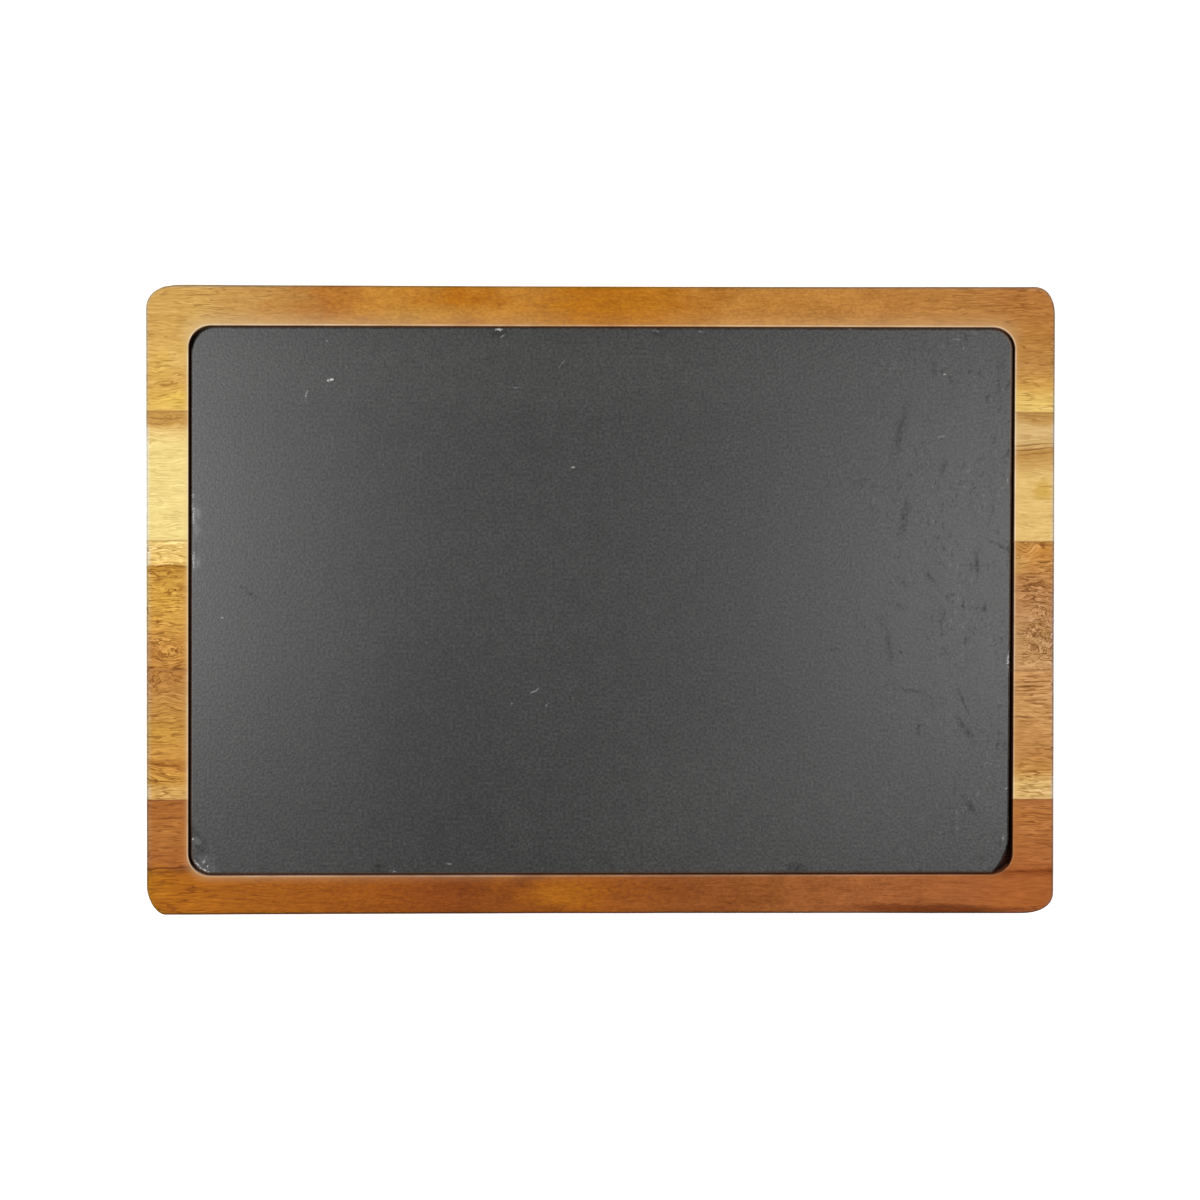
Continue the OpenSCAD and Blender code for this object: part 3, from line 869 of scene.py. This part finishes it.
for vert in slate_mesh.verts:
    x, y = vert.co.x / MM, vert.co.y / MM
    vert.co.x = (x * (1 + SLATE_TAPER * y) + SLATE_SKEW * y + SLATE_PLACE[0]) * MM
    vert.co.y = (y + SLATE_PLACE[1]) * MM

# Marks on the top: a place, half its length and width in millimetres, the turn of its length from X,
# and how strongly it shows. Nicks are pale bruises in the slate, and clefts are shallow splits, with the
# shade in them painted dark.
NICKS = [
    (-98.3, 79.8, 1.2, 0.5, 15, 0.75), (-106.9, 74.5, 1.9, 0.25, 75, 0.3), (-31.6, 77.1, 1, 0.3, 0, 0.18),
    (-14.2, 86.2, 2, 0.22, 50, 0.2), (-10.5, 48.3, 0.8, 0.35, 0, 0.35), (-32.4, -37.4, 0.7, 0.35, 40, 0.25),
    (-24.7, -33.1, 1.8, 0.22, 30, 0.35), (-137.4, -6.2, 0.6, 0.3, 5, 0.25), (-55.3, -95.6, 1.2, 0.3, 0, 0.2),
    (-75.2, -98.5, 1.2, 0.3, 10, 0.25), (-37.1, 98.1, 1.6, 0.5, 0, 0.5), (20.4, 97.4, 0.8, 0.35, 0, 0.14),
    (124.6, 82.3, 0.34, 0.3, 0, 0.35), (129.1, 94.9, 1.9, 0.3, 0, 0.14), (123.8, 59.8, 2.4, 0.3, 20, 0.12),
    (148.1, -21.8, 3, 0.42, 90, 0.5), (147.6, -68.4, 0.5, 0.4, 0, 0.25), (146.5, -86.5, 0.9, 0.35, 80, 0.2),
    (147.9, 43.6, 1.2, 0.3, 90, 0.2), (-147.9, 31, 4.8, 0.5, 90, 0.26), (-147.8, 14.5, 3.2, 0.5, 90, 0.3),
    (-148, 38, 1.2, 0.4, 90, 0.2), (-99.6, 93.8, 0.5, 0.3, 0, 0.15), (-146.4, -95.9, 2.2, 0.5, -51, 0.45),
    (-143.9, -98, 1.6, 0.45, -17, 0.6), (-144.3, -94.9, 0.9, 0.4, 60, 0.28),
    (-142.9, -96.6, 1.1, 0.3, 85, 0.34), (-143.3, -92.8, 0.4, 0.3, 80, 0.2),
    (-148.3, -86.9, 0.9, 0.42, 90, 0.5), (-20, -38, 1, 0.2, 60, 0.2), (-36, 95.6, 1, 0.3, 40, 0.2),
    (20, 97.8, 2, 0.3, 0, 0.14), (36, 97.6, 1, 0.3, 0, 0.12), (90.2, 98.5, 0.9, 0.3, 0, 0.14),
]
CLEFTS = [
    (108.3, 61.5, 9.5, 1.3, 76, 0.31), (120.7, 84.2, 2.2, 0.8, 85, 0.22), (123.6, 83.7, 0.8, 0.45, 0, 0.37),
    (126.8, 80.8, 1.7, 0.7, -60, 0.31), (145.6, 86, 3, 0.9, 90, 0.15), (144.7, 76.4, 4, 0.8, 88, 0.19),
    (124.3, 48, 3, 1, 80, 0.24), (95.6, 44, 2.2, 0.4, 5, 0.31), (124, 34.4, 2.2, 0.5, 85, 0.25),
    (110.2, 30.4, 4.8, 1.3, 82, 0.31), (108.6, 26, 3.6, 0.6, 70, 0.22), (141.6, 31, 3.2, 0.6, 80, 0.25),
    (144.6, 20.2, 3.2, 0.6, -26, 0.31), (136.5, 13.6, 3.4, 0.8, 95, 0.37), (134.2, 12.8, 5, 0.4, 0, 0.19),
    (119.2, 9, 2.8, 0.8, -50, 0.31), (108.3, -2.2, 3.2, 0.8, -20, 0.31), (139.3, -2.9, 1.5, 0.8, 70, 0.31),
    (123.6, -6.6, 3, 1, 85, 0.19), (84.7, -17.8, 2.6, 0.4, 5, 0.34), (104.5, -16.8, 5.2, 1.1, 97, 0.28),
    (108.7, -19, 0.9, 0.5, 30, 0.31), (112.7, -32.8, 4.6, 0.5, -8, 0.28), (131.6, -36.4, 4.2, 0.5, 112, 0.37),
    (132.4, -46.7, 4.8, 1.2, 125, 0.31), (115.3, -46.5, 3, 0.7, 95, 0.28),
    (134.7, -75.6, 2.8, 0.8, 130, 0.37), (128.9, -76, 2.6, 0.25, 0, 0.31), (138.2, -86.5, 0.9, 0.5, 45, 0.37),
    (138.9, -90.5, 1.8, 0.5, 0, 0.19), (138.9, -94.5, 1.3, 0.7, 90, 0.25), (-126.5, 1.8, 4.8, 0.7, -38, 0.31),
]

# Broad areas where the slate is a shade lighter or darker: a place, half its length and width, and
# what it adds to the slate's tone
TONE_AREAS = [(-20, 84, 150, 16, 0.42), (-60, -60, 28, 62, -0.32), (52, -82, 62, 36, 0.38)]

# Honed slate, dry: a nearly neutral dark grey with a faint grit, dusty specks, and broad patches a shade
# lighter or darker, dull but for a slight sheen towards the light, a little paler where it is nicked or
# flaked, and with the shade in its clefts painted dark.
slate, add, shader = new_finish("honed_grey_slate")
place = millimetres(add)
grit = stretched(add, place, (1.0, 1.0, 0.5), roughness=0.6)
patch = stretched(add, place, (5.0, 6.5, 1.2), detail=3.0, roughness=0.6)
cloud = stretched(add, place, (60, 60, 20))
frayed = add("VectorMath", [place, nudge(add, place, (1.6, 1.6, 1.6), (0.32, 0.32, 0))])
crumbled = stretched(add, place, (0.55, 0.55, 0.5), detail=1.0)
crumbled = add("Math MULTIPLY_ADD", [crumbled, 3.2, -1.6])


def marks(places, start, end):
    """How strongly the marks at these places show, with a frayed edge."""
    shown = 0.0
    for x, y, half_l, half_w, angle, strength in places:
        away = off_centre(add, frayed, (x, y, slate_high.z), (half_l, half_w, 2), angle)
        away = add("Math", [away, crumbled])
        shown = passed(add, away, ("MapRange", start, end, 0.0, strength), ("Math MAXIMUM", shown))
    return shown


nicks = marks(NICKS, 1.0, 0.3)
clefts = marks(CLEFTS, 1.5, -0.4)
colour = ramp(add, patch, [(0.30, "#1A1A19"), (0.50, "#1D1D1C"), (0.70, "#20201F")])
tone = add("Math MULTIPLY_ADD", [grit, 6.5, -2.25])
tone = passed(add, cloud, ("Math MULTIPLY_ADD", 0.3, tone), ("Math SUBTRACT", 0.15))
for x, y, half_l, half_w, shade in TONE_AREAS:
    near = off_centre(add, place, (x, y, slate_high.z), (half_l, half_w, 20))
    near = add("MapRange", [near, 1.3, 0.4, 0.0, shade], **SOFTLY)
    tone = add("Math", [tone, near])
tone = add("Math MAXIMUM", [tone, 0.1])
colour = add("VectorMath SCALE", {0: colour, 3: tone})
# Dust caught in the grit, in sparse pale specks
speck = add("TexVoronoi", {"Vector": place, "Scale": 0.16}, out="Distance")
speck = add("MapRange", [speck, 0.05, 0.02, 0.0, 0.14])
colour = coated(add, colour, speck, linear("#B4B2AC"))
# Towards its right end the slate split less cleanly, in feathery flakes along Y
riven = add("MapRange", [add("SeparateXYZ", [place], out="X"), RIVEN_FROM, FLAKES_TO])
flakes = stretched(add, frayed, (11, 17, 5))
flakes = passed(add, flakes, ("MapRange", 0.40, 0.58), ("Math MULTIPLY", riven))
feather = stretched(add, frayed, (1.4, 3.0, 1), detail=3.0, roughness=0.65)
split = passed(add, feather, ("MapRange", 0.42, 0.28, 0.0, 0.3), ("Math MULTIPLY", flakes))
lifted = passed(add, feather, ("MapRange", 0.62, 0.74, 0.0, 0.22), ("Math MULTIPLY", flakes))
colour = coated(add, colour, lifted, linear("#8E8E8C"))
torn = stretched(add, place, (1.3, 1.3, 1), roughness=0.6)
torn = add("MapRange", [torn, 0.36, 0.60, 0.1, 1.4])
clefts = add("Math MULTIPLY", [clefts, torn], use_clamp=True)
clefts = add("Math MAXIMUM", [clefts, split])
# The shade in the clefts and between the flakes is painted near black
colour = coated(add, colour, clefts, linear("#0B0B0B"))
colour = coated(add, colour, nicks, linear("#D3D4D2"))
# The eased edge is painted brown, a painted reflection of the wood beside it
height = add("SeparateXYZ", [place], out="Z")
height = add("MapRange", [height, *(slate_high.z - drop for drop in ARRIS_REFLECTION_DROP)])
wood_reflection = rounded_rectangle(add, place, *slate_half, ARRIS_REFLECTION_RADIUS)
wood_reflection = passed(add, wood_reflection, ("MapRange", *ARRIS_REFLECTION, 0.0, 0.5), ("Math MULTIPLY", height))
colour = coated(add, colour, wood_reflection, linear("#5E4330"))
relief = add("Math MULTIPLY_ADD", [patch, 0.2, grit])
relief = add("Math MULTIPLY_ADD", [clefts, -1.2, relief])
bump = add("Bump", {"Height": relief, "Strength": 0.5, "Distance": 0.06 * MM})
rough = add("Math MULTIPLY_ADD", [patch, 0.05, 0.293])
rough = add("Math MULTIPLY_ADD", [clefts, 0.5, rough])
plug(shader, {"Base Color": colour, "Roughness": rough, "Normal": bump, "Specular IOR Level": 0.354})

slate_piece = finish_mesh(slate_mesh, "slate_plate_riven", slate, crease=50)
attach(slate_piece, "slate")
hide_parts("slate_plate")

# Foam pads
# Four discs of black foam, stuck to the slate's underside. They level it on the pocket's floor and
# keep it from rattling, and stay on it when it is lifted.
PADS = ["pad_back_left", "pad_back_right", "pad_front_left", "pad_front_right"]
# A pad's side from its lower face up: how far in from its rim, and how far up
PAD_SIDE = [(0.45, 0.0), (0.12, 0.1), (0.0, 0.45), (0.05, 0.8)]
# How far it swells into the riven underside, and how much narrower it is there
PAD_SWELL = 0.25
LATHE_STEPS = 64


def lathe(name, centre, profile, material):
    """A turned piece: the profile's (radius, height) points, from its axis out and back, swept round."""
    work = bmesh.new()
    rows = []
    for radius, z in profile:
        angles = [2 * math.pi * i / LATHE_STEPS for i in range(LATHE_STEPS if radius else 1)]
        ring = [Vector((centre.x + radius * math.cos(a), centre.y + radius * math.sin(a), z)) for a in angles]
        rows.append([work.verts.new(place * MM) for place in ring])
    join_rows(work, rows)
    return finish_mesh(work, name, material)


# Closed-cell foam: near black, quite dull, with the pits of its cut cells
foam, add, shader = new_finish("black_closed_cell_foam")
cells = add("TexVoronoi", {"Vector": millimetres(add), "Scale": 3.5}, out="Distance")
bump = add("Bump", {"Height": cells, "Strength": 0.7, "Distance": 0.1 * MM})
colour = ramp(add, cells, [(0.1, "#141414"), (0.6, "#2A2A2A")])
plug(shader, {"Base Color": colour, "Roughness": 0.92, "Normal": bump})

for name in PADS:
    low, high = board_span(name)
    centre, radius, top = (low + high) / 2, (high.x - low.x) / 2, high.z + PAD_SWELL
    side = [(radius - inward, low.z + up) for inward, up in PAD_SIDE]
    pad = lathe(name + "_foam", centre, [(0, low.z), *side, (radius - PAD_SWELL, top), (0, top)], foam)
    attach(pad, "slate")
    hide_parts(name)

# Rubber feet
# Four moulded rubber bumpers under the board, stuck on with an adhesive disc that shows as a thin
# pale edge. Each has a small dimple in its face, left by the mould.
FEET = ["foot_back_left", "foot_back_right", "foot_front_left", "foot_front_right"]
# The dimple's radius and depth, with a nearly flat bottom
DIMPLE = (2.4, 0.3)
# A foot's side from its face up, as a pad's
FOOT_SIDE = [(0.9, 0.0), (0.55, 0.08), (0.27, 0.35), (0.18, 0.75)]
ADHESIVE = 0.12
# How far the adhesive disc stands out of the rubber
ADHESIVE_LIP = 0.02

# Moulded rubber: dark grey, dull, with the mould's fine spark finish
rubber, add, shader = new_finish("dark_grey_moulded_rubber")
place = millimetres(add)
spark = stretched(add, place, (0.25, 0.25, 0.25))
height = add("SeparateXYZ", [place], out="Z")
sticky = add("MapRange", [height, panel_low.z - ADHESIVE, panel_low.z - ADHESIVE * 0.7])
colour = ramp(add, spark, [(0.3, "#262625"), (0.7, "#333332")])
colour = coated(add, colour, sticky, linear("#B9B3A6"))
bump = add("Bump", {"Height": spark, "Strength": 0.4, "Distance": 0.04 * MM})
plug(shader, {"Base Color": colour, "Roughness": 0.7, "Normal": bump})

for name in FEET:
    low, high = board_span(name)
    centre, radius, seat = (low + high) / 2, (high.x - low.x) / 2, high.z - ADHESIVE
    dimple = [(0, low.z + DIMPLE[1]), (DIMPLE[0] * 0.6, low.z + DIMPLE[1] * 0.9), (DIMPLE[0], low.z)]
    side = [(radius - inward, low.z + up) for inward, up in FOOT_SIDE]
    disc = [(radius - ADHESIVE_LIP, seat), (radius, seat), (radius, high.z), (0, high.z)]
    foot = lathe(name + "_bumper", centre, dimple + side + disc, rubber)
    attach(foot, "board")
    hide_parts(name)
